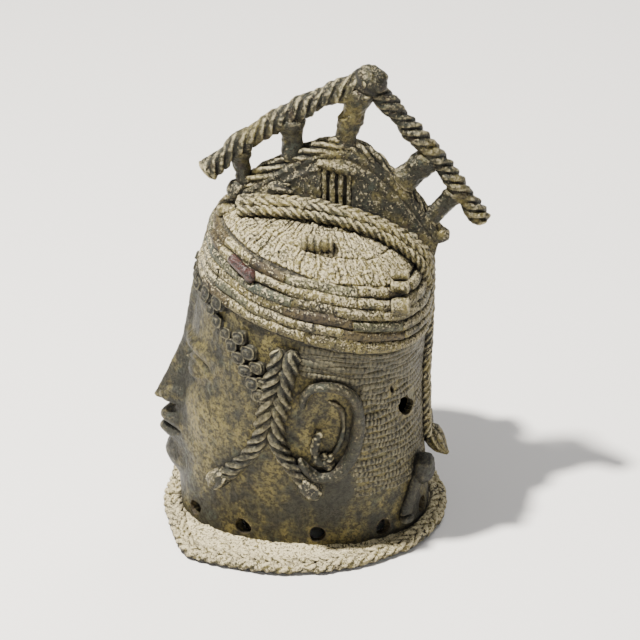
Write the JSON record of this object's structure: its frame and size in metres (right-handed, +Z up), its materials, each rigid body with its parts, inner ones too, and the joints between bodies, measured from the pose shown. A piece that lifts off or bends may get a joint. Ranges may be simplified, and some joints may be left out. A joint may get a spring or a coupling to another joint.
{
  "type": "brass head sculpture",
  "caption": "Hollow-cast brass head on a round flange, with a beaded cap, an upright crest and a roped gable on posts, its face turned forward.",
  "frame": {"origin": "centre of the bounding box, on the flange's underside", "axes": "+Z up, -Y where the face looks, +X towards the head's left ear"},
  "size_m": [0.1691, 0.2064, 0.3122],
  "materials": {
    "brass_head": "aged cast brass with a dark patina in the recesses and pale dust on the high places"
  },
  "bodies": {
    "root": {"brass_head": "brass_head"}
  },
  "joints": []
}
